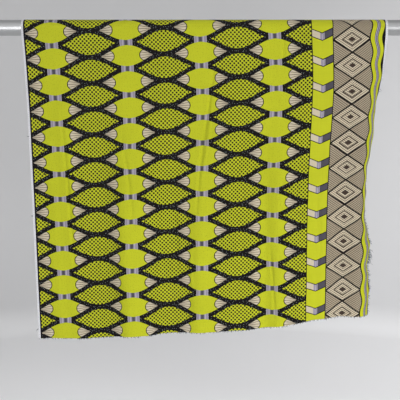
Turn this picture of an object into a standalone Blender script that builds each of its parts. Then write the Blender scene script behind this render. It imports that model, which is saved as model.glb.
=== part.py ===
"""A printed cotton wrap cloth hung over a round metal rod.

One length of cloth, 1.17 m between its selvedges and 1.83 m long, is hung over a rod. It is built as
three stretches that meet edge to edge: the fall in front, the stretch over the rod and the fall behind.
Metres, +Z up. The origin is on the rod's axis, halfway along it. +X runs along the rod, and the front
fall hangs on the -Y side.

Each fall is a stack of level sections, one for each depth below the rod. A section is a line as long as
the cloth is wide. Its direction at each place is worked out from the fall's folds, and near the right
selvedge from the curl that both falls share. The back fall stands off its line by the gap between the two.
"""

import math

import bmesh
import bpy
import numpy as np
from mathutils import Matrix

# The rod
ROD_LENGTH = 1.40
ROD_RADIUS = 0.025
ROD_EDGE = 0.002
ROD_SIDES = 72

# The cloth as it was cut
CLOTH_WIDTH = 1.17
CLOTH_LENGTH = 1.83
WALL = 0.0016

# The clearance that touching pieces keep
CLEAR = 0.0003

# Radius of the middle of the cloth where it lies on the rod
BEND_RADIUS = ROD_RADIUS + CLEAR + WALL / 2

# Where the left selvedge hangs: depth below the rod's axis, and its place along the rod
LEFT_SELVEDGE = {
    "depth": (0.00, 0.10, 0.25, 0.58, 1.06),
    "along": (-0.571, -0.562, -0.554, -0.547, -0.545),
}

# The front cut end: distance from the left selvedge, and its depth below the rod's axis
FRONT_HEM = {
    "across": (0.00, 0.22, 0.39, 0.59, 0.74, 0.92, 1.04, 1.17),
    "depth": (1.034, 1.031, 1.015, 1.003, 0.999, 0.969, 0.954, 0.950),
}

# The curl of the right selvedge towards the back: the width that curls, and the angle its edge reaches
CURL = {
    "depth": (0.00, 0.10, 0.25, 0.42, 0.58, 0.72, 0.94, 1.06),
    "width": (0.130, 0.130, 0.135, 0.142, 0.138, 0.106, 0.068, 0.066),
    "angle": (0.0, 42.0, 80.0, 108.0, 120.0, 114.0, 100.0, 96.0),
}

# The curl grows from nothing over this depth just under the rod, and it bends less over its first part
CURL_GROWS_OVER = 0.05
CURL_SOFT_START = 0.12

# Tables are read on a line that is smoothed over this reach to each side, at this many places
TABLE_REACH = 0.03
TABLE_PLACES = 13

# Folds, one row each, in metres: place from the left selvedge, sideways drift for each metre down,
# depth where it starts, depth where it has its full size, half its width, and its height to the front
FOLD_COLUMNS = ("across", "drift", "start", "full", "half_width", "height")
FRONT_FOLDS = (
    (0.560, 0.00, 0.05, 0.95, 0.560, 0.014),
    (0.030, 0.01, 0.30, 0.90, 0.045, -0.005),
    (0.108, 0.04, 0.16, 0.50, 0.050, 0.006),
    (0.210, 0.03, 0.18, 0.75, 0.100, -0.012),
    (0.285, 0.02, 0.45, 0.95, 0.045, 0.005),
    (0.345, 0.00, 0.12, 0.62, 0.090, 0.012),
    (0.425, -0.03, 0.40, 0.90, 0.040, 0.005),
    (0.500, -0.04, 0.25, 0.80, 0.095, -0.012),
    (0.575, -0.02, 0.55, 0.98, 0.045, 0.006),
    (0.660, -0.07, 0.05, 0.50, 0.090, 0.013),
    (0.745, 0.03, 0.30, 0.75, 0.080, -0.012),
    (0.815, 0.01, 0.60, 0.95, 0.045, 0.006),
    (0.860, 0.00, 0.05, 0.45, 0.085, 0.011),
    (0.920, 0.00, 0.50, 0.92, 0.040, 0.005),
    (0.965, -0.01, 0.15, 0.60, 0.070, -0.010),
)
BACK_FOLDS = (
    (0.070, 0.02, 0.15, 0.55, 0.060, -0.008),
    (0.165, -0.02, 0.25, 0.60, 0.070, 0.007),
    (0.260, -0.02, 0.20, 0.65, 0.075, -0.010),
    (0.345, 0.04, 0.30, 0.70, 0.050, 0.006),
    (0.430, 0.03, 0.12, 0.55, 0.070, -0.009),
    (0.520, 0.00, 0.28, 0.72, 0.060, 0.007),
    (0.610, 0.00, 0.10, 0.50, 0.080, -0.011),
    (0.710, -0.03, 0.25, 0.65, 0.065, 0.007),
    (0.800, 0.02, 0.15, 0.60, 0.070, -0.008),
    (0.890, 0.01, 0.30, 0.70, 0.055, 0.005),
)

# The gap between the middles of the two falls: on the rod, hanging free, and where they curl together
GAP_AT_ROD = 2 * BEND_RADIUS
GAP_HANGING = 0.050
GAP_CURLED = 0.026
GAP_CLOSES_BY = 0.24
CURLED_FROM = 0.85
CURLED_TO = 1.02

# How finely the hung form is worked out, and how many of those lines the solids keep
FINE_COLUMNS = 234
LEVELS = 216
DEEPEST = 1.08
FLAT_STEP = 5
CURL_STEP = 2
CURL_COLUMNS = 30
FRONT_ROWS = 25
BACK_ROWS = 20
ROWS_CLOSE_UP = 1.4
ARC_STEPS = 18
ARC_COLUMNS = 12

# Edges of a wall and of the rod's ends sharper than this are shaded sharp
SHARP_ANGLE = math.radians(40)

COTTON = {"base_color": (0.42, 0.43, 0.10), "roughness": 0.85, "metallic": 0.0}
STEEL = {"base_color": (0.62, 0.63, 0.64), "roughness": 0.28, "metallic": 1.0}


def ease(share):
    """Rises smoothly from 0 to 1 as the share does, and stays level outside."""
    inside = np.clip(share, 0.0, 1.0)
    return inside * inside * (3.0 - 2.0 * inside)


def read_table(table, column, read_by, places):
    """Reads a table's column between its rows, on a smoothed line."""
    reach = np.linspace(-TABLE_REACH, TABLE_REACH, TABLE_PLACES)
    spread = np.asarray(places)[..., None] + reach
    return np.interp(spread, table[read_by], table[column]).mean(axis=-1)


def fold_height(folds, across, depth):
    """How far the folds stand to the front: each is a raised cosine across, and grows smoothly downwards."""
    total = np.zeros(np.broadcast(across, depth).shape)
    for row in folds:
        fold = dict(zip(FOLD_COLUMNS, row))
        centre = fold["across"] + fold["drift"] * depth
        offset = np.clip((across - centre) / fold["half_width"], -1.0, 1.0)
        growth = ease((depth - fold["start"]) / (fold["full"] - fold["start"]))
        total += fold["height"] * growth * 0.5 * (1.0 + np.cos(math.pi * offset))
    return total


def hung_form(folds):
    """A fall's sections by level and column: place along the rod, place to the back, and direction."""
    across = np.linspace(0.0, CLOTH_WIDTH, FINE_COLUMNS + 1)[None, :]
    depth = np.linspace(0.0, DEEPEST, LEVELS + 1)[:, None]
    step = CLOTH_WIDTH / FINE_COLUMNS
    rise = np.gradient(-fold_height(folds, across, depth), step, axis=1)
    width = read_table(CURL, "width", "depth", depth)
    angle = np.radians(read_table(CURL, "angle", "depth", depth)) * ease(depth / CURL_GROWS_OVER)
    share = np.clip((across - (CLOTH_WIDTH - width)) / width, 0.0, 1.0)
    bend = share * share * (1.0 + CURL_SOFT_START) / (share + CURL_SOFT_START)
    direction = np.arcsin(rise) + angle * bend
    middle = 0.5 * (direction[:, 1:] + direction[:, :-1])
    along = np.zeros(direction.shape)
    back = np.zeros(direction.shape)
    along[:, 1:] = np.cumsum(np.cos(middle), axis=1) * step
    back[:, 1:] = np.cumsum(np.sin(middle), axis=1) * step
    along += read_table(LEFT_SELVEDGE, "along", "depth", depth)
    back -= BEND_RADIUS + fold_height(folds, across[:, :1], depth)
    return along, back, direction


def read_form(form, columns, depths):
    """Reads each part of a hung form at the given columns and depths."""
    level = depths / DEEPEST * LEVELS
    above = level.astype(int)
    share = level - above
    return [part[above, columns] * (1.0 - share) + part[above + 1, columns] * share for part in form]


def fall_gap(across, depth):
    """The distance between the middles of the falls, which closes where they curl together."""
    lower = ease(depth / GAP_CLOSES_BY)
    curled = ease((across - CURLED_FROM) / (CURLED_TO - CURLED_FROM))
    hanging = GAP_HANGING + (GAP_CURLED - GAP_HANGING) * curled
    return GAP_AT_ROD + (hanging - GAP_AT_ROD) * lower


def kept_columns():
    """The columns that the solids keep, closer together in the curl."""
    flat = FINE_COLUMNS - CURL_COLUMNS
    return np.array([*range(0, flat, FLAT_STEP), *range(flat, FINE_COLUMNS + 1, CURL_STEP)])


def front_depth(across):
    """The depth of the front cut end."""
    return read_table(FRONT_HEM, "depth", "across", across)


def back_depth(across):
    """The depth of the back cut end: what is left of the cloth's length past the front fall and the rod."""
    first, last = FRONT_HEM["depth"][0], FRONT_HEM["depth"][-1]
    front = first + (last - first) * across / CLOTH_WIDTH
    return CLOTH_LENGTH - math.pi * BEND_RADIUS - front


def fall_points(hem, rows, folds, behind):
    """The middle of a fall's wall as a grid of points, from just under the rod down to its cut end."""
    columns = kept_columns()
    across = columns / FINE_COLUMNS * CLOTH_WIDTH
    share = np.linspace(0.0, 1.0, rows + 1)[:, None] ** ROWS_CLOSE_UP
    depths = CLEAR + share * (hem(across)[None, :] - CLEAR)
    along, back, direction = read_form(hung_form(folds), columns[None, :], depths)
    if behind:
        gap = fall_gap(across[None, :], depths)
        along = along - gap * np.sin(direction)
        back = back + gap * np.cos(direction)
    return np.stack([along, back, -depths], axis=-1)


def over_points():
    """The middle of the wall over the rod: a half circle carried along the rod, front edge first."""
    left = LEFT_SELVEDGE["along"][0]
    along = np.linspace(left, left + CLOTH_WIDTH, ARC_COLUMNS + 1)[None, :]
    turn = np.linspace(0.0, math.pi, ARC_STEPS + 1)[:, None]
    back = -BEND_RADIUS * np.cos(turn) + 0.0 * along
    up = BEND_RADIUS * np.sin(turn) + 0.0 * along
    return np.stack([along + 0.0 * turn, back, up], axis=-1)


def grid_normals(points):
    """A unit normal at each point of a grid, square to its rows and columns."""
    down = np.gradient(points, axis=0)
    right = np.gradient(points, axis=1)
    normals = np.cross(right, down)
    return normals / np.linalg.norm(normals, axis=-1, keepdims=True)


def wall_mesh(name, points):
    """A closed wall on a grid of points: two skins half a wall to each side, and a rim all round."""
    rows, columns = points.shape[:2]
    offset = grid_normals(points) * WALL / 2
    verts = np.concatenate([(points + offset).reshape(-1, 3), (points - offset).reshape(-1, 3)])
    index = np.arange(rows * columns).reshape(rows, columns)
    skin = np.stack([index[:-1, :-1], index[:-1, 1:], index[1:, 1:], index[1:, :-1]], axis=-1).reshape(-1, 4)
    border = np.concatenate([index[0, :-1], index[:-1, -1], index[-1, :0:-1], index[:0:-1, 0]])
    following = np.roll(border, -1)
    far = rows * columns
    rim = np.stack([border, border + far, following + far, following], axis=-1)
    faces = np.concatenate([skin, skin[:, ::-1] + far, rim])
    mesh = bpy.data.meshes.new(name)
    mesh.from_pydata(verts.tolist(), [], faces.tolist())
    work = bmesh.new()
    work.from_mesh(mesh)
    bmesh.ops.recalc_face_normals(work, faces=work.faces)
    work.to_mesh(mesh)
    work.free()
    mesh.shade_smooth()
    mesh.set_sharp_from_angle(angle=SHARP_ANGLE)
    return mesh


def rod_mesh(name):
    """A round bar along X with closed ends and rounded end edges."""
    work = bmesh.new()
    bmesh.ops.create_cone(work, cap_ends=True, segments=ROD_SIDES, radius1=ROD_RADIUS, radius2=ROD_RADIUS,
                          depth=ROD_LENGTH)
    bmesh.ops.rotate(work, verts=work.verts, matrix=Matrix.Rotation(math.pi / 2, 3, "Y"))
    ends = [e for e in work.edges if abs(e.verts[0].co.x - e.verts[1].co.x) < ROD_EDGE]
    bmesh.ops.bevel(work, geom=ends, offset=ROD_EDGE, segments=3, profile=0.5, affect="EDGES")
    bmesh.ops.recalc_face_normals(work, faces=work.faces)
    mesh = bpy.data.meshes.new(name)
    work.to_mesh(mesh)
    work.free()
    mesh.shade_smooth()
    mesh.set_sharp_from_angle(angle=SHARP_ANGLE)
    return mesh


def make_material(name, look):
    """A plain surface with the look's colour, roughness and metallic value."""
    material = bpy.data.materials.new(name)
    material.use_nodes = True
    shader = material.node_tree.nodes["Principled BSDF"]
    shader.inputs["Base Color"].default_value = (*look["base_color"], 1.0)
    shader.inputs["Roughness"].default_value = look["roughness"]
    shader.inputs["Metallic"].default_value = look["metallic"]
    return material


def add_piece(mesh, look):
    """Puts a mesh in the scene under its own name, with its own material."""
    mesh.materials.append(make_material(mesh.name + "_finish", look))
    piece = bpy.data.objects.new(mesh.name, mesh)
    bpy.context.scene.collection.objects.link(piece)


def build():
    """Builds the rod and the three stretches of cloth."""
    for old in list(bpy.data.objects):
        bpy.data.objects.remove(old, do_unlink=True)
    add_piece(rod_mesh("rod"), STEEL)
    add_piece(wall_mesh("over_rod", over_points()), COTTON)
    front = fall_points(front_depth, FRONT_ROWS, FRONT_FOLDS, behind=False)
    add_piece(wall_mesh("front_fall", front), COTTON)
    back = fall_points(back_depth, BACK_ROWS, BACK_FOLDS, behind=True)
    add_piece(wall_mesh("back_fall", back), COTTON)


build()
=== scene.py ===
"""Looks for a printed cotton wrap cloth hung over a round steel rod.

The cloth is one length of plain-woven cotton with a wax-style print, uncut and unsewn. It hangs over the
rod as three thin shells that meet edge to edge: the fall in front, the stretch over the rod and the fall
behind.

Metres, +Z up. The origin is on the rod's axis, halfway along it. +X runs along the rod, and the front fall
hangs on the -Y side. Places on the cloth are given as across, the distance from its left selvedge, and
depth, the distance below the rod's axis. The print is laid out in millimetres.
"""

import logging
import math
from dataclasses import dataclass, field
from enum import Enum
from typing import NamedTuple

import bpy
import numpy as np
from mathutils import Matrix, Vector


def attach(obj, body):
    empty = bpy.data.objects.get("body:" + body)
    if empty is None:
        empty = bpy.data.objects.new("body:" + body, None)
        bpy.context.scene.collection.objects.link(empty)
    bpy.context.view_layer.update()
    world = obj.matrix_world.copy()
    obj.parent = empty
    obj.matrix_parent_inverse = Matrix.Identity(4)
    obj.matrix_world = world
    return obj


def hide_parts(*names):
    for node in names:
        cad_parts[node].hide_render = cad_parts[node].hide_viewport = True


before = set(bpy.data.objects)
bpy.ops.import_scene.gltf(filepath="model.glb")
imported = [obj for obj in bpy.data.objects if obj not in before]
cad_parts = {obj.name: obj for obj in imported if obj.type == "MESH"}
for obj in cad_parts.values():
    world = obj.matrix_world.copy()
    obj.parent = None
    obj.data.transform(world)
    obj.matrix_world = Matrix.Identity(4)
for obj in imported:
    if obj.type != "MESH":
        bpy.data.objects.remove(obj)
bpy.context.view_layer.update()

BODY = "root"

# Names of the two maps a piece of cloth carries: its own metres, and its place in a square image
CLOTH_MAP = "cloth_metres"
IMAGE_MAP = "OFBake"

# Sockets of a node that mixes colours: the colour below, the colour above, and the mixed colour
BELOW, ABOVE, MIXED = 6, 7, 2

# How far the two skins of a shell stay inside the edge of its square image
OUTER_INSET = 0.002
INNER_INSET = 0.003

# Edges bent more sharply than this, in degrees, are not smoothed
SHARP_ANGLE = 50

# Height of the floor, measured from the rod's axis
FLOOR = -3.3

MM = 0.001
log = logging.getLogger("wrap_cloth")


def linear(hex_colour: str) -> tuple[float, float, float, float]:
    """Turns an sRGB hex colour into the linear colour that a shader reads.

    Args:
        hex_colour: six hex digits, with or without a leading hash.

    Returns:
        Linear red, green, blue and an alpha of 1.
    """
    digits = hex_colour.lstrip("#")
    parts = [int(digits[place:place + 2], 16) / 255 for place in (0, 2, 4)]
    return (*[part / 12.92 if part <= 0.04045 else ((part + 0.055) / 1.055) ** 2.4 for part in parts], 1.0)


def add_node(tree: bpy.types.NodeTree, kind: str, settings: dict[str | int, object],
             links: dict[str | int, bpy.types.NodeSocket]) -> bpy.types.Node:
    """Adds a node, gives it its settings and joins its inputs.

    Args:
        tree: the node tree that gets the node.
        kind: Blender's name for this kind of node.
        settings: values by property name, or by the name or number of an input socket.
        links: output sockets that feed it, by the name or number of the input socket.

    Returns:
        The new node.
    """
    node = tree.nodes.new(kind)
    for name, value in settings.items():
        if isinstance(name, str) and hasattr(node, name):
            setattr(node, name, value)
        else:
            node.inputs[name].default_value = value
    for name, socket in links.items():
        tree.links.new(socket, node.inputs[name])
    return node


def work_out(tree: bpy.types.NodeTree, known: dict[str, bpy.types.NodeSocket],
             steps: tuple[tuple, ...]) -> None:
    """Works through a table of arithmetic steps, a node each, and keeps each result under its name.

    Args:
        tree: the node tree that gets the nodes.
        known: results so far, by name. The new results are added to it.
        steps: rows of a result's name, the operation, and one to three terms. A term is a number or the name
            of a result.
    """
    for name, operation, *terms in steps:
        named = {place: known[term] for place, term in enumerate(terms) if isinstance(term, str)}
        numbers = {place: term for place, term in enumerate(terms) if not isinstance(term, str)}
        node = add_node(tree, "ShaderNodeMath", {"operation": operation, **numbers}, named)
        known[name] = node.outputs[0]


def new_material(name: str) -> tuple[bpy.types.Material, bpy.types.NodeTree]:
    """Makes a node material with nothing in it.

    Args:
        name: the real material's name.

    Returns:
        The material and its node tree.
    """
    material = bpy.data.materials.new(name)
    material.use_nodes = True
    material.node_tree.nodes.clear()
    return material, material.node_tree


@dataclass(frozen=True)
class WaxPrint:
    """The printed design, in millimetres across and along the cloth, and its dyes.

    The field is a lattice of lens-shaped cells, lying down, between two families of black wave bands. The
    bands touch at knots. Plain lime lenses have a cream leaf at both ends, and the lenses between them hold
    a dotted net. The right edge has a column of stepped blocks, a panel of diamonds and waved stripes. A
    length that is called a half is to each side of a line, a share is of a row's height, and the diamonds
    are measured in shares of the panel's half width.
    """

    lens_width: float = 238.0
    row_height: float = 83.0
    row_slope: float = 0.0437
    first_knot: float = -24.0
    wobble: float = 2.6
    wobble_size: float = 60.0
    band_half: float = 8.0
    leaf_length: float = 78.0
    leaf_rounding: float = 26.0
    leaf_veins: float = 6.0
    leaf_shade: float = 0.9
    vein_half: float = 0.75
    outline_half: float = 1.4
    net_pitch: float = 13.0
    net_ink: float = 0.07
    net_half: float = 74.0
    net_bow: float = 16.0
    bead_half: float = 20.0
    band_rim: float = 2.2
    speck_pitch: float = 8.5
    speck_reach: float = 0.115
    fleck_pitch: float = 9.0
    fleck_reach: float = 0.075
    fleck_strength: float = 0.6
    blocks_from: float = 927.0
    block_share: float = 0.72
    block_lean: float = 0.42
    strip_dark_from: float = 2.0
    strip_middle_half: float = 7.0
    strip_line_gap: float = 7.0
    strip_line_half: float = 0.9
    panel_from: float = 995.0
    panel_to: float = 1116.0
    panel_vein_pitch: float = 7.2
    panel_vein_half: float = 1.0
    panel_vein_lean: float = 0.72
    diamond_line: float = 0.07
    inner_diamond: float = 0.5
    inner_line: float = 0.045
    heart_diamond: float = 0.2
    stripe_wave: float = 4.0
    selvedge: float = 6.5
    right_selvedge: float = 7.5
    left_line: float = 5.0
    right_line: float = 2.0
    pin_pitch: float = 6.0
    pin_half: float = 0.5

    lime: str = "#B5BA22"
    olive_black: str = "#23250F"
    near_black: str = "#0D090A"
    cream: str = "#C1B69E"
    leaf_root: str = "#9C9282"
    shaded_cream: str = "#9E927D"
    brown: str = "#3B2F28"
    lilac: str = "#8C8692"
    pale_lilac: str = "#ABA5B2"
    charcoal: str = "#4A4750"
    speck_grey: str = "#7B8485"
    bare_cotton: str = "#D1D1D5"

    def lattice(self) -> tuple[tuple, ...]:
        """Steps for the bands and lenses.

        The waves are row = k H + (H/4) cos(turn) and row = (k + 1/2) H - (H/4) cos(turn), for every whole
        k. A band is where the nearer of the two lies closer than half a band. A place is in a plain lens
        where the part of a row past the first wave is less than (1 - cos(turn)) / 2.

        Returns:
            Rows of steps, as work_out reads them.
        """
        height = self.row_height
        return (
            ("from_knot", "SUBTRACT", "across", self.first_knot),
            ("turn", "MULTIPLY", "from_knot", 2 * math.pi / self.lens_width),
            ("wave", "COSINE", "turn"),
            ("past_first", "MULTIPLY_ADD", "wave", -height / 4, "row"),
            ("past_second", "MULTIPLY_ADD", "wave", height / 4, "row"),
            ("past_second_half", "ADD", "past_second", height / 2),
            ("to_first", "PINGPONG", "past_first", height / 2),
            ("to_second", "PINGPONG", "past_second_half", height / 2),
            ("to_band", "MINIMUM", "to_first", "to_second"),
            ("band", "LESS_THAN", "to_band", self.band_half),
            ("rows_past", "DIVIDE", "past_first", height),
            ("in_row", "FRACT", "rows_past"),
            ("lens_share", "MULTIPLY_ADD", "wave", -0.5, 0.5),
            ("in_plain", "LESS_THAN", "in_row", "lens_share"),
            ("in_net", "SUBTRACT", 1.0, "in_plain"),
            ("to_knot", "PINGPONG", "from_knot", self.lens_width / 2),
        )

    def leaves(self) -> tuple[tuple, ...]:
        """Steps for the leaf at each end of a plain lens.

        The leaf fills the lens from the knot out to leaf_length - leaf_rounding * side squared, where side
        runs from -1 at the lens's upper edge to 1 at its lower edge. Its veins lie at even shares of the
        lens's height.

        Returns:
            Rows of steps, as work_out reads them.
        """
        return (
            ("lens_place", "DIVIDE", "in_row", "lens_share"),
            ("leaf_side", "MULTIPLY_ADD", "lens_place", 2.0, -1.0),
            ("leaf_side_squared", "MULTIPLY", "leaf_side", "leaf_side"),
            ("leaf_end", "MULTIPLY_ADD", "leaf_side_squared", -self.leaf_rounding, self.leaf_length),
            ("inside_end", "SUBTRACT", "leaf_end", "to_knot"),
            ("before_end", "GREATER_THAN", "inside_end", 0.0),
            ("leaf", "MULTIPLY", "before_end", "in_plain"),
            ("near_end", "COMPARE", "inside_end", 0.0, self.outline_half),
            ("leaf_outline", "MULTIPLY", "near_end", "in_plain"),
            ("to_vein_share", "PINGPONG", "lens_place", 0.5 / self.leaf_veins),
            ("lens_height", "MULTIPLY", "lens_share", self.row_height),
            ("to_vein", "MULTIPLY", "to_vein_share", "lens_height"),
            ("near_vein", "LESS_THAN", "to_vein", self.vein_half),
            ("leaf_vein", "MULTIPLY", "near_vein", "leaf"),
            ("root_shade", "DIVIDE", "to_knot", self.leaf_length),
            ("root_fade", "SUBTRACT", self.leaf_shade, "root_shade"),
            ("root_inside", "MULTIPLY", "root_fade", "leaf"),
            ("leaf_root", "MAXIMUM", "root_inside", 0.0),
        )

    def net(self) -> tuple[tuple, ...]:
        """Steps for the dotted net in the middle of the other lenses.

        A dot is where cos(pi across / half pitch) cos(pi row / half pitch) is over net_ink, which sets the
        dots in rows half a pitch apart, each row shifted by half a pitch. The net ends on a bowed line.

        Returns:
            Rows of steps, as work_out reads them.
        """
        half_pitch = self.net_pitch / 2
        return (
            ("net_across", "MULTIPLY", "across", math.pi / half_pitch),
            ("net_down", "MULTIPLY", "row", math.pi / half_pitch),
            ("net_across_wave", "COSINE", "net_across"),
            ("net_down_wave", "COSINE", "net_down"),
            ("net_wave", "MULTIPLY", "net_across_wave", "net_down_wave"),
            ("net_dot", "GREATER_THAN", "net_wave", self.net_ink),
            ("past_plain", "SUBTRACT", "in_row", "lens_share"),
            ("net_lens_share", "SUBTRACT", 1.0, "lens_share"),
            ("net_place", "DIVIDE", "past_plain", "net_lens_share"),
            ("net_side", "MULTIPLY_ADD", "net_place", 2.0, -1.0),
            ("net_side_squared", "MULTIPLY", "net_side", "net_side"),
            ("net_end", "MULTIPLY_ADD", "net_side_squared", self.net_bow, self.net_half),
            ("inside_net_end", "SUBTRACT", "net_end", "to_knot"),
            ("before_net_end", "GREATER_THAN", "inside_net_end", 0.0),
            ("net_part", "MULTIPLY", "before_net_end", "in_net"),
            ("net", "MULTIPLY", "net_part", "net_dot"),
            ("near_net_end", "COMPARE", "inside_net_end", 0.0, self.outline_half),
            ("net_outline", "MULTIPLY", "near_net_end", "in_net"),
        )

    def beads(self) -> tuple[tuple, ...]:
        """Steps for the striped grey bead on each knot without leaves, and for the specks on the bands.

        Returns:
            Rows of steps, as work_out reads them.
        """
        return (
            ("to_bead", "SUBTRACT", self.lens_width / 2, "to_knot"),
            ("near_bead", "LESS_THAN", "to_bead", self.bead_half),
            ("bead", "MULTIPLY", "near_bead", "band"),
            ("to_bead_line", "PINGPONG", "to_bead", self.bead_half / 4),
            ("near_bead_line", "LESS_THAN", "to_bead_line", self.outline_half),
            ("bead_line", "MULTIPLY", "near_bead_line", "bead"),
            ("near_core", "LESS_THAN", "to_bead", self.bead_half / 4),
            ("bead_core", "MULTIPLY", "near_core", "band"),
            ("near_speck", "LESS_THAN", "to_speck", self.speck_reach),
            ("band_core", "LESS_THAN", "to_band", self.band_half - self.band_rim),
            ("speck", "MULTIPLY", "near_speck", "band_core"),
            ("near_fleck", "LESS_THAN", "to_fleck", self.fleck_reach),
            ("fleck", "MULTIPLY", "near_fleck", self.fleck_strength),
        )

    def blocks(self) -> tuple[tuple, ...]:
        """Steps for the column of blocks: in each row a lime block over a strip, both bent into a V.

        Returns:
            Rows of steps, as work_out reads them.
        """
        middle = (self.blocks_from + self.panel_from) / 2
        outline_share = self.outline_half / self.row_height
        return (
            ("in_blocks", "GREATER_THAN", "across", self.blocks_from),
            ("from_middle", "SUBTRACT", "across", middle),
            ("off_middle", "ABSOLUTE", "from_middle"),
            ("bent_row", "MULTIPLY_ADD", "off_middle", self.block_lean, "row"),
            ("block_rows", "DIVIDE", "bent_row", self.row_height),
            ("block_place", "FRACT", "block_rows"),
            ("strip_below", "GREATER_THAN", "block_place", self.block_share),
            ("strip", "MULTIPLY", "strip_below", "in_blocks"),
            ("right_part", "GREATER_THAN", "from_middle", self.strip_dark_from),
            ("strip_right", "MULTIPLY", "strip", "right_part"),
            ("middle_part", "LESS_THAN", "off_middle", self.strip_middle_half),
            ("strip_middle", "MULTIPLY", "strip", "middle_part"),
            ("to_strip_line", "PINGPONG", "off_middle", self.strip_line_gap / 2),
            ("near_strip_line", "LESS_THAN", "to_strip_line", self.strip_line_half),
            ("strip_line", "MULTIPLY", "near_strip_line", "strip_middle"),
            ("to_block_end", "PINGPONG", "block_place", 0.5),
            ("at_block_end", "LESS_THAN", "to_block_end", outline_share),
            ("at_share", "COMPARE", "block_place", self.block_share, outline_share),
            ("at_either", "MAXIMUM", "at_block_end", "at_share"),
            ("block_outline", "MULTIPLY", "at_either", "in_blocks"),
            ("blocks_edge", "COMPARE", "across", self.blocks_from, self.outline_half),
        )

    def panel(self) -> tuple[tuple, ...]:
        """Steps for the cream panel: upright rows of diamonds over chevron lines.

        With x the distance from the panel's middle as a share of its half width, and y the distance from a
        diamond's middle as a share of half a row, the diamonds are the lines x + y = 1 and x + y = a half.

        Returns:
            Rows of steps, as work_out reads them.
        """
        middle = (self.panel_from + self.panel_to) / 2
        half = (self.panel_to - self.panel_from) / 2
        return (
            ("in_panel", "GREATER_THAN", "across", self.panel_from),
            ("from_panel", "SUBTRACT", "across", middle),
            ("off_panel", "ABSOLUTE", "from_panel"),
            ("panel_x", "DIVIDE", "off_panel", half),
            ("panel_down", "PINGPONG", "row", self.row_height / 2),
            ("panel_y", "DIVIDE", "panel_down", self.row_height / 2),
            ("diamond", "ADD", "panel_x", "panel_y"),
            ("outside_diamond", "GREATER_THAN", "diamond", 1.0),
            ("panel_corner", "MULTIPLY", "outside_diamond", "in_panel"),
            ("chevron_row", "MULTIPLY_ADD", "off_panel", self.panel_vein_lean, "row"),
            ("to_chevron", "PINGPONG", "chevron_row", self.panel_vein_pitch / 2),
            ("near_chevron", "LESS_THAN", "to_chevron", self.panel_vein_half),
            ("chevron", "MULTIPLY", "near_chevron", "in_panel"),
            ("near_diamond", "COMPARE", "diamond", 1.0, self.diamond_line),
            ("diamond_outline", "MULTIPLY", "near_diamond", "in_panel"),
            ("near_inner", "COMPARE", "diamond", self.inner_diamond, self.inner_line),
            ("inner_outline", "MULTIPLY", "near_inner", "in_panel"),
            ("near_heart", "LESS_THAN", "diamond", self.heart_diamond),
            ("diamond_heart", "MULTIPLY", "near_heart", "in_panel"),
            ("panel_edge", "COMPARE", "across", self.panel_from, self.outline_half),
        )

    def stripes(self) -> tuple[tuple[float, str], ...]:
        """The right edge's stripes: where each starts, counted from the panel's end, and its dye.

        Returns:
            Rows of a start in millimetres and a colour in hex.
        """
        return (
            (0.0, self.near_black),
            (4.0, self.lime),
            (16.5, self.near_black),
            (18.0, self.pale_lilac),
            (20.5, self.charcoal),
            (22.5, self.lilac),
            (26.5, self.near_black),
            (28.0, self.lime),
            (40.5, self.near_black),
        )

    def edges(self) -> tuple[tuple, ...]:
        """Steps for the waved stripes, the black edge lines and the bare selvedges with their pin holes.

        Returns:
            Rows of steps, as work_out reads them.
        """
        width = Cut.width / MM
        starts = tuple((f"stripe_{place}", "GREATER_THAN", "waved", self.panel_to + start)
                       for place, (start, _) in enumerate(self.stripes()))
        return (
            ("stripe_turn", "MULTIPLY", "row", 2 * math.pi / self.row_height),
            ("stripe_wave", "COSINE", "stripe_turn"),
            ("waved", "MULTIPLY_ADD", "stripe_wave", self.stripe_wave, "across"),
            *starts,
            ("from_right", "SUBTRACT", width, "across_mm"),
            ("from_edge", "MINIMUM", "across_mm", "from_right"),
            ("left_line", "LESS_THAN", "across_mm", self.selvedge + self.left_line),
            ("right_line", "LESS_THAN", "from_right", self.right_selvedge + self.right_line),
            ("edge_line", "MAXIMUM", "left_line", "right_line"),
            ("bare_left", "LESS_THAN", "across_mm", self.selvedge),
            ("bare_right", "LESS_THAN", "from_right", self.right_selvedge),
            ("bare_edge", "MAXIMUM", "bare_left", "bare_right"),
            ("off_pin_line", "SUBTRACT", "from_edge", self.selvedge / 2),
            ("to_pin_line", "ABSOLUTE", "off_pin_line"),
            ("to_pin", "PINGPONG", "down_mm", self.pin_pitch / 2),
            ("pin_distance", "MAXIMUM", "to_pin_line", "to_pin"),
            ("pin_hole", "LESS_THAN", "pin_distance", self.pin_half),
        )

    def layers(self) -> tuple[tuple, ...]:
        """The painting order over the lime ground.

        Returns:
            Rows of the result that says where a colour lies, and the colour in hex, lowest first.
        """
        stripes = tuple((f"stripe_{place}", dye) for place, (_, dye) in enumerate(self.stripes()))
        return (
            ("fleck", self.olive_black),
            ("net", self.olive_black),
            ("net_outline", self.near_black),
            ("leaf", self.cream),
            ("leaf_root", self.leaf_root),
            ("leaf_vein", self.brown),
            ("leaf_outline", self.near_black),
            ("band", self.near_black),
            ("speck", self.speck_grey),
            ("bead", self.lilac),
            ("bead_line", self.pale_lilac),
            ("bead_core", self.charcoal),
            ("in_blocks", self.lime),
            ("strip", self.cream),
            ("strip_right", self.charcoal),
            ("strip_middle", self.lilac),
            ("strip_line", self.pale_lilac),
            ("block_outline", self.near_black),
            ("blocks_edge", self.near_black),
            ("in_panel", self.cream),
            ("panel_corner", self.shaded_cream),
            ("chevron", self.brown),
            ("inner_outline", self.brown),
            ("diamond_heart", self.brown),
            ("diamond_outline", self.near_black),
            ("panel_edge", self.near_black),
            *stripes,
            ("edge_line", self.near_black),
            ("bare_edge", self.bare_cotton),
            ("pin_hole", self.charcoal),
        )

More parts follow.
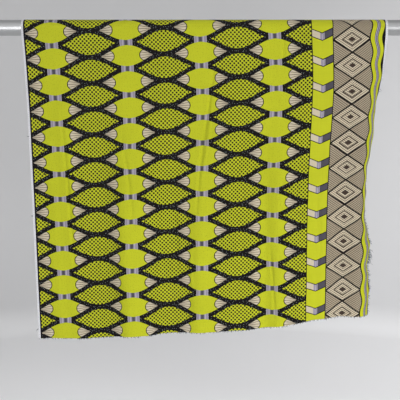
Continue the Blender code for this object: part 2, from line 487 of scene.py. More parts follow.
    def colour(self, tree: bpy.types.NodeTree, metres: bpy.types.NodeSocket) -> bpy.types.NodeSocket:
        """Adds the nodes that draw the design.

        Args:
            tree: the material's node tree.
            metres: the place on the cloth, as its map gives it.

        Returns:
            The print's colour at that place.
        """
        place = add_node(tree, "ShaderNodeSeparateXYZ", {}, {0: metres})
        unsteady = {"Scale": 1 / (self.wobble_size * MM), "Detail": 1.0}
        hand = add_node(tree, "ShaderNodeTexNoise", unsteady, {"Vector": metres})
        shifts = add_node(tree, "ShaderNodeSeparateColor", {}, {0: hand.outputs["Color"]})
        cells = {"voronoi_dimensions": "2D", "Randomness": 0.9}
        specks, flecks = (
            add_node(tree, "ShaderNodeTexVoronoi", {**cells, "Scale": 1 / (pitch * MM)}, {"Vector": metres})
            for pitch in (self.speck_pitch, self.fleck_pitch)
        )
        known = {
            "u": place.outputs[0],
            "v": place.outputs[1],
            "shift_across": shifts.outputs[0],
            "shift_down": shifts.outputs[1],
            "to_speck": specks.outputs["Distance"],
            "to_fleck": flecks.outputs["Distance"],
        }
        work_out(tree, known, (
            ("across_mm", "MULTIPLY", "u", 1 / MM),
            ("down_mm", "MULTIPLY", "v", 1 / MM),
            ("across", "MULTIPLY_ADD", "shift_across", self.wobble, "across_mm"),
            ("down", "MULTIPLY_ADD", "shift_down", self.wobble, "down_mm"),
            ("row", "MULTIPLY_ADD", "across_mm", self.row_slope, "down"),
        ))
        for part in (self.lattice, self.leaves, self.net, self.beads, self.blocks, self.panel, self.edges):
            work_out(tree, known, part())
        below = {}
        for name, dye in self.layers():
            colours = {"data_type": "RGBA", BELOW: linear(self.lime), ABOVE: linear(dye)}
            layer = add_node(tree, "ShaderNodeMix", colours, {0: known[name], **below})
            below = {BELOW: layer.outputs[MIXED]}
        return layer.outputs[MIXED]


@dataclass(frozen=True)
class PrintedCotton:
    """Plain-woven cotton, wax-style printed and lightly sized: dry, matt, with a faint sheen at low angles.

    The dye takes a little unevenly, thick threads show as faint streaks both ways, and the cloth keeps the
    small crumples of having been folded. The weave is drawn at 1.8 mm, about five times as coarse as the
    real threads.
    """

    design: WaxPrint = WaxPrint()
    roughness: float = 0.78
    specular: float = 0.15
    sheen: float = 0.06
    sheen_roughness: float = 0.45
    weave_pitch: float = 1.8
    weave_relief: float = 0.04
    crumple_size: float = 38.0
    crumple_relief: float = 1.4
    streak_long: float = 90.0
    streak_wide: float = 1.6
    uneven_size: float = 140.0
    uneven_share: float = 0.8
    darkest: float = 0.78
    spread: float = 0.16

    def material(self) -> bpy.types.Material:
        """Builds the cloth's material on its own map in metres.

        Returns:
            The material.
        """
        material, tree = new_material("wax_printed_plain_weave_cotton")
        metres = add_node(tree, "ShaderNodeUVMap", {"uv_map": CLOTH_MAP}, {}).outputs[0]
        colour = self.worn(tree, metres, self.design.colour(tree, metres))
        settings = {
            "Roughness": self.roughness,
            "Specular IOR Level": self.specular,
            "Sheen Weight": self.sheen,
            "Sheen Roughness": self.sheen_roughness,
        }
        links = {"Base Color": colour, "Normal": self.relief(tree, metres)}
        shader = add_node(tree, "ShaderNodeBsdfPrincipled", settings, links)
        add_node(tree, "ShaderNodeOutputMaterial", {}, {"Surface": shader.outputs[0]})
        return material

    def worn(self, tree: bpy.types.NodeTree, metres: bpy.types.NodeSocket,
             colour: bpy.types.NodeSocket) -> bpy.types.NodeSocket:
        """Varies a colour's brightness by a few parts in a hundred, for the uneven dye and the thick threads.

        Args:
            tree: the material's node tree.
            metres: the place on the cloth.
            colour: the print's colour.

        Returns:
            The varied colour.
        """
        known = {}
        long, wide = 1 / (self.streak_long * MM), 1 / (self.streak_wide * MM)
        even = 1 / (self.uneven_size * MM)
        scales = {"weft": (long, wide, 1.0), "warp": (wide, long, 1.0), "dye": (even, even, even)}
        for name, scale in scales.items():
            stretched = add_node(tree, "ShaderNodeMapping", {"Scale": scale}, {"Vector": metres})
            settings = {"Scale": 1.0, "Detail": 2.0}
            noise = add_node(tree, "ShaderNodeTexNoise", settings, {"Vector": stretched.outputs[0]})
            known[name] = noise.outputs[0]
        work_out(tree, known, (
            ("threads", "ADD", "weft", "warp"),
            ("all", "MULTIPLY_ADD", "dye", self.uneven_share, "threads"),
            ("value", "MULTIPLY_ADD", "all", self.spread, self.darkest),
        ))
        varied = add_node(tree, "ShaderNodeHueSaturation", {}, {"Color": colour, "Value": known["value"]})
        return varied.outputs[0]

    def relief(self, tree: bpy.types.NodeTree, metres: bpy.types.NodeSocket) -> bpy.types.NodeSocket:
        """Adds the crumples and the weave as bump.

        The weave's height is cos(2 pi u / pitch) cos(2 pi v / pitch), which is high where a thread lies on
        top.

        Args:
            tree: the material's node tree.
            metres: the place on the cloth.

        Returns:
            The bumped normal.
        """
        place = add_node(tree, "ShaderNodeSeparateXYZ", {}, {0: metres})
        known = {"u": place.outputs[0], "v": place.outputs[1]}
        turns = 2 * math.pi / (self.weave_pitch * MM)
        work_out(tree, known, (
            ("across_turn", "MULTIPLY", "u", turns),
            ("down_turn", "MULTIPLY", "v", turns),
            ("across_wave", "COSINE", "across_turn"),
            ("down_wave", "COSINE", "down_turn"),
            ("weave", "MULTIPLY", "across_wave", "down_wave"),
        ))
        scale = 1 / (self.crumple_size * MM)
        settings = {"Scale": scale, "Detail": 3.0, "Roughness": 0.45, "Distortion": 0.6}
        crumple = add_node(tree, "ShaderNodeTexNoise", settings, {"Vector": metres})
        coarse = {"Distance": self.crumple_relief * MM}
        soft = add_node(tree, "ShaderNodeBump", coarse, {"Height": crumple.outputs[0]})
        links = {"Height": known["weave"], "Normal": soft.outputs[0]}
        fine = add_node(tree, "ShaderNodeBump", {"Distance": self.weave_relief * MM}, links)
        return fine.outputs[0]


@dataclass(frozen=True)
class SatinSteel:
    """Stainless steel tube, ground and polished to a satin: grey, with a soft bright line and faint scratches
    along it."""

    colour: str = "#B1B2B3"
    roughness: float = 0.42
    scratch_long: float = 120.0
    scratch_wide: float = 1.2
    scratch_relief: float = 0.01
    spread: float = 0.16

    def material(self) -> bpy.types.Material:
        """Builds the tube's material on object coordinates.

        Returns:
            The material.
        """
        material, tree = new_material("satin_polished_stainless_steel")
        place = add_node(tree, "ShaderNodeTexCoord", {}, {}).outputs["Object"]
        long, wide = 1 / (self.scratch_long * MM), 1 / (self.scratch_wide * MM)
        stretched = add_node(tree, "ShaderNodeMapping", {"Scale": (long, wide, wide)}, {"Vector": place})
        noise = {"Scale": 1.0, "Detail": 3.0}
        scratches = add_node(tree, "ShaderNodeTexNoise", noise, {"Vector": stretched.outputs[0]})
        known = {"scratches": scratches.outputs[0]}
        work_out(tree, known, (
            ("rough", "MULTIPLY_ADD", "scratches", self.spread, self.roughness - self.spread / 2),
        ))
        relief = {"Distance": self.scratch_relief * MM}
        bump = add_node(tree, "ShaderNodeBump", relief, {"Height": known["scratches"]})
        settings = {"Base Color": linear(self.colour), "Metallic": 1.0}
        links = {"Roughness": known["rough"], "Normal": bump.outputs[0]}
        shader = add_node(tree, "ShaderNodeBsdfPrincipled", settings, links)
        add_node(tree, "ShaderNodeOutputMaterial", {}, {"Surface": shader.outputs[0]})
        return material


@dataclass(frozen=True)
class LooseYarn:
    """Loose cotton yarn at the cloth's edges: soft, matt and hairy, dyed in patches by the print."""

    pale: str = "#66717A"
    dyed: str = "#222C38"
    patch_size: float = 7.0
    roughness: float = 0.9
    sheen: float = 0.3

    def material(self) -> bpy.types.Material:
        """Builds the yarn's material on object coordinates.

        Returns:
            The material.
        """
        material, tree = new_material("loose_cotton_yarn")
        place = add_node(tree, "ShaderNodeTexCoord", {}, {}).outputs["Object"]
        noise = {"Scale": 1 / (self.patch_size * MM), "Detail": 2.0}
        patches = add_node(tree, "ShaderNodeTexNoise", noise, {"Vector": place})
        colours = {"data_type": "RGBA", BELOW: linear(self.pale), ABOVE: linear(self.dyed)}
        colour = add_node(tree, "ShaderNodeMix", colours, {0: patches.outputs[0]})
        settings = {"Roughness": self.roughness, "Sheen Weight": self.sheen}
        shader = add_node(tree, "ShaderNodeBsdfPrincipled", settings, {"Base Color": colour.outputs[MIXED]})
        add_node(tree, "ShaderNodeOutputMaterial", {}, {"Surface": shader.outputs[0]})
        return material


@dataclass(frozen=True)
class PaperSweep:
    """Seamless background paper: uncoated, matt, pale grey, with a very fine tooth; its paler floor is
    painted light.
    """

    wall_colour: str = "#DADADB"
    # The floor's paler colour is painted light: it stands in for the stronger light that falls on the floor
    # from above
    painted_light_floor_colour: str = "#F4F4F5"
    fade: float = 0.3
    roughness: float = 0.95
    tooth_pitch: float = 2.5
    tooth_relief: float = 0.05
    tooth_strength: float = 0.3

    def material(self) -> bpy.types.Material:
        """Builds the paper's material on object coordinates.

        Returns:
            The material.
        """
        material, tree = new_material("seamless_background_paper")
        place = add_node(tree, "ShaderNodeTexCoord", {}, {}).outputs["Object"]
        noise = {"Scale": 1 / (self.tooth_pitch * MM), "Detail": 2.0}
        tooth = add_node(tree, "ShaderNodeTexNoise", noise, {"Vector": place})
        relief = {"Distance": self.tooth_relief * MM, "Strength": self.tooth_strength}
        bump = add_node(tree, "ShaderNodeBump", relief, {"Height": tooth.outputs[0]})
        height = add_node(tree, "ShaderNodeSeparateXYZ", {}, {0: place}).outputs[2]
        # Paints the floor paler than the wall as painted light, fading into the wall's grey over the fade's
        # height
        smooth = {"interpolation_type": "SMOOTHSTEP", "From Min": FLOOR, "From Max": FLOOR + self.fade}
        risen = add_node(tree, "ShaderNodeMapRange", smooth, {0: height})
        colours = {"data_type": "RGBA", BELOW: linear(self.painted_light_floor_colour), ABOVE: linear(self.wall_colour)}
        colour = add_node(tree, "ShaderNodeMix", colours, {0: risen.outputs[0]})
        links = {"Base Color": colour.outputs[MIXED], "Normal": bump.outputs[0]}
        shader = add_node(tree, "ShaderNodeBsdfPrincipled", {"Roughness": self.roughness}, links)
        add_node(tree, "ShaderNodeOutputMaterial", {}, {"Surface": shader.outputs[0]})
        return material


def ease(share: np.ndarray) -> np.ndarray:
    """Rises smoothly from 0 to 1 as the share does, as 3 s squared - 2 s cubed, and stays level outside."""
    inside = np.clip(share, 0.0, 1.0)
    return inside * inside * (3.0 - 2.0 * inside)


def mound(offset: np.ndarray) -> np.ndarray:
    """A raised cosine: 1 where the offset is 0, falling to 0 where it is 1 or more to either side."""
    return 0.5 * (1.0 + np.cos(math.pi * np.clip(offset, -1.0, 1.0)))


class Fold(NamedTuple):
    """A soft upright fold: its place across, its sideways drift for each metre down, the depths where it
    starts and where it has its full size, half its width, and its height to the front."""

    across: float
    drift: float
    start: float
    full: float
    half_width: float
    height: float

    def rise(self, across: np.ndarray, depth: np.ndarray) -> np.ndarray:
        """Works out how far it stands to the front: a mound across, which grows smoothly from start to full.

        Args:
            across: distances from the left selvedge.
            depth: depths below the rod's axis.

        Returns:
            The rise at each place.
        """
        centre = self.across + self.drift * depth
        growth = ease((depth - self.start) / (self.full - self.start))
        return self.height * growth * mound((across - centre) / self.half_width)


class Crease(NamedTuple):
    """A narrow crease: its upper and lower ends, how far its middle bows sideways, half its width, and its
    height away from the cloth's face, less than 0 for a trough."""

    across_top: float
    depth_top: float
    across_end: float
    depth_end: float
    bow: float
    half_width: float
    height: float

    def rise(self, across: np.ndarray, depth: np.ndarray) -> np.ndarray:
        """Works out its height: a peaked mound beside its line, which fades in and out as a half sine does.

        Args:
            across: distances from the left selvedge.
            depth: depths below the rod's axis.

        Returns:
            The rise at each place.
        """
        share = np.clip((depth - self.depth_top) / (self.depth_end - self.depth_top), 0.0, 1.0)
        arch = np.sin(math.pi * share)
        line = self.across_top + (self.across_end - self.across_top) * share + self.bow * arch
        return self.height * arch * mound((across - line) / self.half_width) ** 1.5


class Ripple(NamedTuple):
    """A small wave in the right selvedge: its depth, half its length down the edge, its height, and how far
    in it reaches from the edge."""

    depth: float
    half_length: float
    height: float
    reach: float

    def rise(self, across: np.ndarray, depth: np.ndarray) -> np.ndarray:
        """A mound down the selvedge that dies away smoothly over its reach."""
        inward = ease(1.0 - (Cut.width - across) / self.reach)
        return self.height * inward * mound((depth - self.depth) / self.half_length)


@dataclass(frozen=True)
class Cut:
    """The cloth as it was cut, and the lines and tables that say how it hangs.

    The tables give places along the rod, depths, or the curl of the right selvedge, each by the depth or the
    distance across where it holds.
    """

    width: float = 1.17
    length: float = 1.83
    thickness: float = 0.0007
    bend_radius: float = 0.0255
    left_by_depth: tuple = ((0.00, 0.10, 0.25, 0.58, 1.06), (-0.571, -0.565, -0.559, -0.553, -0.546))
    hem_by_across: tuple = (
        (0.00, 0.22, 0.39, 0.59, 0.74, 0.92, 1.04, 1.17),
        (1.034, 1.031, 1.017, 1.004, 1.001, 0.974, 0.961, 0.957),
    )
    curl_depths: tuple = (0.00, 0.06, 0.13, 0.19, 0.26, 0.33, 0.42, 0.53, 0.60, 0.66, 0.73, 0.80, 0.90, 1.06)
    curl_widths: tuple = (
        0.090, 0.088, 0.092, 0.092, 0.098, 0.098, 0.100, 0.114, 0.108, 0.098, 0.088, 0.088, 0.080, 0.076,
    )
    curl_angles: tuple = (0.0, 26.0, 48.0, 68.0, 84.0, 88.0, 92.0, 106.0, 106.0, 98.0, 88.0, 88.0, 82.0, 80.0)
    curl_grows_over: float = 0.05
    curl_soft_start: float = 0.12
    gap_hanging: float = 0.050
    gap_curled: float = 0.026
    gap_closes_by: float = 0.24
    curled_from: float = 0.85
    curled_to: float = 1.02
    table_reach: float = 0.03
    table_places: int = 13
    columns: int = 390
    levels: int = 216
    deepest: float = 1.08

    def across(self) -> np.ndarray:
        """The distance across of each column of the cloth's grid."""
        return np.linspace(0.0, self.width, self.columns + 1)

    def smoothed(self, table: tuple, places: np.ndarray) -> np.ndarray:
        """Reads a table between its rows, averaged over a short reach to each side to round its corners."""
        reach = np.linspace(-self.table_reach, self.table_reach, self.table_places)
        return np.interp(np.asarray(places)[..., None] + reach, *table).mean(axis=-1)

    def front_depth(self) -> np.ndarray:
        """The depth of the front cut end at each column."""
        return self.smoothed(self.hem_by_across, self.across())

    def back_depth(self) -> np.ndarray:
        """Works out the depth of the back cut end at each column.

        It is the length of the cloth less half a turn round the rod and a front fall with a straight end.

        Returns:
            The depths.
        """
        first, last = self.hem_by_across[1][0], self.hem_by_across[1][-1]
        front = first + (last - first) * self.across() / self.width
        return self.length - math.pi * self.bend_radius - front

    def hung(self, folds: tuple[Fold, ...], depths: np.ndarray) -> tuple[np.ndarray, np.ndarray, np.ndarray]:
        """Works out a fall's level sections and reads them at a grid's depths.

        A section's direction is the arc sine of the folds' slope, plus the curl's angle times a
        soft-started share of the way across the curl. Adding up the cosines and sines of the direction
        gives its places.

        Args:
            folds: the fall's folds.
            depths: the depth of each point of the grid, one row of points for each row of the cloth.

        Returns:
            Places along the rod, places to the back, and directions, one for each point of the grid.
        """
        across = self.across()[None, :]
        depth = np.linspace(0.0, self.deepest, self.levels + 1)[:, None]
        step = self.width / self.columns
        height = sum(fold.rise(across, depth) for fold in folds)
        width = self.smoothed((self.curl_depths, self.curl_widths), depth)
        angle = np.radians(self.smoothed((self.curl_depths, self.curl_angles), depth))
        angle = angle * ease(depth / self.curl_grows_over)
        share = np.clip((across - (self.width - width)) / width, 0.0, 1.0)
        bend = share * share * (1.0 + self.curl_soft_start) / (share + self.curl_soft_start)
        direction = np.arcsin(np.gradient(-height, step, axis=1)) + angle * bend
        middle = 0.5 * (direction[:, 1:] + direction[:, :-1])
        start = np.zeros((self.levels + 1, 1))
        along = np.hstack([start, np.cumsum(np.cos(middle), axis=1) * step])
        along = along + self.smoothed(self.left_by_depth, depth)
        back = np.hstack([start, np.cumsum(np.sin(middle), axis=1) * step]) - self.bend_radius - height[:, :1]
        level = depths / self.deepest * self.levels
        above = level.astype(int)
        share_below = level - above
        column = np.arange(self.columns + 1)[None, :]
        return tuple(part[above, column] * (1.0 - share_below) + part[above + 1, column] * share_below
                     for part in (along, back, direction))

    def gap(self, depths: np.ndarray) -> np.ndarray:
        """Works out the distance between the middles of the falls, which closes where they curl together.

        Args:
            depths: the depth of each point of a fall's grid.

        Returns:
            The distance at each point.
        """
        curled = ease((self.across()[None, :] - self.curled_from) / (self.curled_to - self.curled_from))
        hanging = self.gap_hanging + (self.gap_curled - self.gap_hanging) * curled
        at_rod = 2.0 * self.bend_radius
        return at_rod + (hanging - at_rod) * ease(depths / self.gap_closes_by)


class Side(Enum):
    """Which fall of the cloth a piece is."""

    FRONT = "front"
    BACK = "back"


def grid_normals(points: np.ndarray) -> np.ndarray:
    """A unit normal at each point of a grid: the cross product of its steps to the right and down."""
    normals = np.cross(np.gradient(points, axis=1), np.gradient(points, axis=0))
    return normals / np.linalg.norm(normals, axis=-1, keepdims=True)


def fill_map(mesh: bpy.types.Mesh, name: str, places: np.ndarray) -> None:
    """Gives a mesh a map.

    Args:
        mesh: the mesh, with its faces made.
        name: the map's name.
        places: the place of each of the mesh's points on the map.
    """
    corners = np.zeros(len(mesh.loops), np.int32)
    mesh.loops.foreach_get("vertex_index", corners)
    layer = mesh.uv_layers.new(name=name, do_init=False)
    layer.uv.foreach_set("vector", places[corners].astype(np.float32).ravel())


def shell_mesh(name: str, middle: np.ndarray, thickness: float, metres: np.ndarray) -> bpy.types.Mesh:
    """Makes a closed thin shell on a grid of points: a skin to each side of it, and a rim all round.

    Args:
        name: the mesh's name.
        middle: the grid of points in the middle of the cloth, rows by columns by 3.
        thickness: the shell's thickness.
        metres: each point's place on the cloth, rows by columns by 2.

    Returns:
        The mesh, with the cloth's map in metres and its image map.
    """
    rows, columns = middle.shape[:2]
    offset = grid_normals(middle) * thickness / 2
    points = np.concatenate([(middle + offset).reshape(-1, 3), (middle - offset).reshape(-1, 3)])
    index = np.arange(rows * columns).reshape(rows, columns)
    skin = np.stack([index[:-1, :-1], index[:-1, 1:], index[1:, 1:], index[1:, :-1]], axis=-1).reshape(-1, 4)
    border = np.concatenate([index[0, :-1], index[:-1, -1], index[-1, :0:-1], index[:0:-1, 0]])
    following = np.roll(border, -1)
    far = rows * columns
    rim = np.stack([border, border + far, following + far, following], axis=-1)
    faces = np.concatenate([skin, skin[:, ::-1] + far, rim])
    mesh = bpy.data.meshes.new(name)
    mesh.from_pydata(points.tolist(), [], faces.tolist())
    flat = metres.reshape(-1, 2)
    fill_map(mesh, CLOTH_MAP, np.tile(flat, (2, 1)))
    low, high = flat.min(axis=0), flat.max(axis=0)
    image = (flat - low) / (high - low)
    # The inner skin's image is drawn in by a hair, which gives the rim between the skins a width of its own
    skins = [inset + (1.0 - 2.0 * inset) * image for inset in (OUTER_INSET, INNER_INSET)]
    fill_map(mesh, IMAGE_MAP, np.concatenate(skins))
    mesh.shade_smooth()
    mesh.set_sharp_from_angle(angle=math.radians(SHARP_ANGLE))
    return mesh


def add_piece(mesh: bpy.types.Mesh, material: bpy.types.Material) -> bpy.types.Object:
    """Puts a mesh in the scene as a piece under its own name, in its material, riding on the part's one body.

    Args:
        mesh: the piece's mesh, in place.
        material: its finish.

    Returns:
        The piece.
    """
    mesh.materials.append(material)
    piece = bpy.data.objects.new(mesh.name, mesh)
    bpy.context.scene.collection.objects.link(piece)
    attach(piece, BODY)
    return piece


@dataclass
class Fall:
    """One hanging stretch of the cloth, from beside the rod's axis down to its cut end."""

    side: Side
    node: str
    folds: tuple[Fold, ...]
    creases: tuple[Crease, ...]
    ripples: tuple[Ripple, ...]
    rows: int
    cut: Cut = field(default_factory=Cut)

    @property
    def hem(self) -> np.ndarray:
        """The depth of this fall's cut end at each column."""
        return self.cut.front_depth() if self.side is Side.FRONT else self.cut.back_depth()

    def depths(self) -> np.ndarray:
        """The depth of each point of the grid: even shares of the way down to the cut end."""
        return np.linspace(0.0, 1.0, self.rows + 1)[:, None] * self.hem[None, :]

    def surface(self) -> np.ndarray:
        """Works out the middle of the cloth.

        The back fall stands off its line by the gap between the falls, along the section's normal. Creases
        and ripples then move each point along the cloth's own normal, by the sum of their heights.

        Returns:
            The grid of points, rows by columns by 3.
        """
        depths = self.depths()
        along, back, direction = self.cut.hung(self.folds, depths)
        outward = 1.0
        if self.side is Side.BACK:
            gap = self.cut.gap(depths)
            along = along - gap * np.sin(direction)
            back = back + gap * np.cos(direction)
        else:
            outward = -1.0
        points = np.stack([along, back, -depths], axis=-1)
        across = self.cut.across()[None, :]
        height = sum(shape.rise(across, depths) for shape in (*self.creases, *self.ripples))
        return points + outward * height[..., None] * grid_normals(points)

    def metres(self) -> np.ndarray:
        """Works out each point's place: across, and along the cloth, counted down from the front fall's top.

        Returns:
            The places, rows by columns by 2.
        """
        depths = self.depths()
        if self.side is Side.BACK:
            depths = -math.pi * self.cut.bend_radius - depths
        return np.stack([np.broadcast_to(self.cut.across(), depths.shape), depths], axis=-1)

    def build(self, finish: bpy.types.Material) -> bpy.types.Object:
        """Makes the fall in place of its solid.

        Args:
            finish: the cloth's material.

        Returns:
            The piece.
        """
        mesh = shell_mesh(f"{self.node}_cloth", self.surface(), self.cut.thickness, self.metres())
        piece = add_piece(mesh, finish)
        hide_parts(self.node)
        return piece

    def declare(self, piece: bpy.types.Object, on_it: list[bpy.types.Object]) -> None:
        """Works out the fall's flat size and its flat area, which nothing then uses.

        Args:
            piece: the fall's piece. Not used.
            on_it: the loose yarns that go with it. Not used.
        """
        flat = (self.cut.width, float(self.hem.max()))
        area = float(np.trapz(self.hem, self.cut.across()))


@dataclass
class OverRod:
    """The stretch of cloth that lies over the rod, from the rod's front side to its back side."""

    node: str = "over_rod"
    rows: int = 14
    cut: Cut = field(default_factory=Cut)

    def surface(self) -> np.ndarray:
        """Works out the middle of the cloth.

        It is a half circle, (-r cos t, r sin t) for t from 0 to pi, carried along the rod.

        Returns:
            The grid of points, rows by columns by 3.
        """
        turn = np.linspace(0.0, math.pi, self.rows + 1)[:, None]
        along = self.cut.smoothed(self.cut.left_by_depth, 0.0) + self.cut.across()[None, :]
        radius = self.cut.bend_radius
        flat = np.zeros((self.rows + 1, self.cut.columns + 1))
        return np.stack([along + flat, flat - radius * np.cos(turn), flat + radius * np.sin(turn)], axis=-1)

    def metres(self) -> np.ndarray:
        """Works out each point's place on the cloth, counted back from the top of the front fall.

        Returns:
            The places, rows by columns by 2.
        """
        turn = np.linspace(0.0, math.pi, self.rows + 1)[:, None]
        across = np.broadcast_to(self.cut.across(), (self.rows + 1, self.cut.columns + 1))
        return np.stack([across, -self.cut.bend_radius * turn + 0.0 * across], axis=-1)

    def build(self, finish: bpy.types.Material) -> bpy.types.Object:
        """Args:
            finish: the cloth's material.

        Returns:
            The piece.
        """
        mesh = shell_mesh(f"{self.node}_cloth", self.surface(), self.cut.thickness, self.metres())
        piece = add_piece(mesh, finish)
        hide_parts(self.node)
        return piece


def yarn_mesh(name: str, lines: np.ndarray, radius: float, tip_share: float) -> bpy.types.Mesh:
    """Makes many thin yarns as one mesh: square tubes that taper to their free ends.

    Args:
        name: the mesh's name.
        lines: the yarns' middles, yarns by points by 3, root first.
        radius: the yarns' radius at the root.
        tip_share: the share of that radius at the free end.

    Returns:
        The mesh.
    """
    yarns, places = lines.shape[:2]
    ahead = np.gradient(lines, axis=1)
    ahead /= np.linalg.norm(ahead, axis=-1, keepdims=True)
    # Any way that no yarn runs in gives the tubes their first side
    aside = np.cross(ahead, np.array([0.31, 0.83, 0.46]))
    aside /= np.linalg.norm(aside, axis=-1, keepdims=True)
    above = np.cross(aside, ahead)
    taper = radius * np.linspace(1.0, tip_share, places)[None, :, None]
    ring = [lines + taper * part for part in (aside, above, -aside, -above)]
    points = np.stack(ring, axis=2).reshape(-1, 3)
    index = np.arange(yarns * places * 4).reshape(yarns, places, 4)
    turned = np.roll(index, -1, axis=2)
    walls = np.stack([index[:, :-1], turned[:, :-1], turned[:, 1:], index[:, 1:]], axis=-1).reshape(-1, 4)
    faces = np.concatenate([walls, index[:, 0, ::-1], index[:, -1]])
    mesh = bpy.data.meshes.new(name)
    mesh.from_pydata(points.tolist(), [], faces.tolist())
    mesh.shade_smooth()
    return mesh


class Tuft(NamedTuple):
    """A tuft of loose yarns at a selvedge: its depth, how many yarns, how far they spread down the edge,
    and how long the longest is."""

    depth: float
    yarns: int
    spread: float
    longest: float


@dataclass
class LooseYarns:
    """The loose yarns of a fall: tufts at its selvedges and the short fray along its cut end."""

    fall: Fall
    right_tufts: tuple[Tuft, ...]
    left_tufts: tuple[Tuft, ...]
    fray_count: int
    right_way: tuple[float, float, float] = (1.0, 0.1, -0.25)
    left_way: tuple[float, float, float] = (-1.0, 0.1, -0.2)
    down_way: tuple[float, float, float] = (0.0, 0.0, -1.0)
    tuft_scatter: float = 0.45
    tuft_curl: float = 0.3
    tuft_shortest_share: float = 0.3
    fray_scatter: float = 0.3
    fray_curl: float = 0.25
    fray_length: float = 0.004
    fray_shortest: float = 0.0012
    sag: float = 0.35
    curl_turns: float = 1.2
    radius: float = 0.0007
    tip_share: float = 0.45
    points: int = 6
    seed: int = 11

    def strands(self, roots: np.ndarray, ways: np.ndarray, lengths: np.ndarray,
                curls: np.ndarray) -> np.ndarray:
        """Works out yarns: each runs its way from its root, sags with the square of the distance, and curls.

        Args:
            roots: where the yarns start, one row each.
            ways: the unit way that each sets off.
            lengths: how long each is.
            curls: how far each is pushed off its line, one row each.

        Returns:
            The yarns' middles, yarns by points by 3.
        """
        share = np.linspace(0.0, 1.0, self.points)[None, :, None]
        reach = lengths[:, None, None]
        line = roots[:, None, :] + share * reach * ways[:, None, :]
        line = line + curls[:, None, :] * reach * np.sin(self.curl_turns * 2 * math.pi * share) * share
        line[..., 2] -= self.sag * (share * share * reach)[..., 0]
        return line

    def build(self, finish: bpy.types.Material) -> bpy.types.Object:
        """Makes the yarns on the fall's edges, in the same places each run.

        Args:
            finish: the yarns' material.

        Returns:
            The yarns as one piece.
        """
        chance = np.random.default_rng(self.seed)
        surface = self.fall.surface()
        made = []
        sides = ((-1, self.right_way, self.right_tufts), (0, self.left_way, self.left_tufts))
        for column, way, tufts in sides:
            for tuft in tufts:
                depth = tuft.depth + tuft.spread * chance.uniform(-0.5, 0.5, tuft.yarns)
                row = np.clip(depth / self.fall.hem[column] * self.fall.rows, 0, self.fall.rows).astype(int)
                ways = np.array(way) + chance.normal(0.0, self.tuft_scatter, (tuft.yarns, 3))
                ways /= np.linalg.norm(ways, axis=1, keepdims=True)
                lengths = tuft.longest * chance.uniform(self.tuft_shortest_share, 1.0, tuft.yarns)
                curls = chance.normal(0.0, self.tuft_curl, (tuft.yarns, 3))
                made.append(self.strands(surface[row, column], ways, lengths, curls))
        column = chance.integers(0, self.fall.cut.columns, self.fray_count)
        share = chance.uniform(0.0, 1.0, (self.fray_count, 1))
        roots = surface[-1, column] * (1.0 - share) + surface[-1, column + 1] * share
        ways = np.array(self.down_way) + chance.normal(0.0, self.fray_scatter, (self.fray_count, 3))
        ways /= np.linalg.norm(ways, axis=1, keepdims=True)
        lengths = chance.uniform(self.fray_shortest, self.fray_length, self.fray_count)
        curls = chance.normal(0.0, self.fray_curl, (self.fray_count, 3))
        made.append(self.strands(roots, ways, lengths, curls))
        name = f"{self.fall.node}_loose_yarns"
        mesh = yarn_mesh(name, np.concatenate(made), self.radius, self.tip_share)
        return add_piece(mesh, finish)


@dataclass
class Rod:
    """The steel tube that holds the cloth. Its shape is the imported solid's own."""

    node: str = "rod"

    def dress(self, finish: bpy.types.Material) -> bpy.types.Object:
        """Gives the tube its finish.

        Args:
            finish: the tube's material.

        Returns:
            The tube.
        """
        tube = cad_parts[self.node]
        tube.data.materials.clear()
        tube.data.materials.append(finish)
        return tube


class Reach(Enum):
    """What a lamp does: light matt faces, or be mirrored in metal."""

    LIGHTS = "lights"
    MIRRORED = "mirrored"


class Softbox(NamedTuple):
    """A soft rectangular lamp: its name, its place, what it is aimed at, its width and height, its power, its
    reach, and the angle in degrees that its light fans out to, less than 180 behind a grid."""

    name: str
    place: tuple[float, float, float]
    aim: tuple[float, float, float]
    width: float
    height: float
    watts: float
    reach: Reach
    spread: float = 180.0


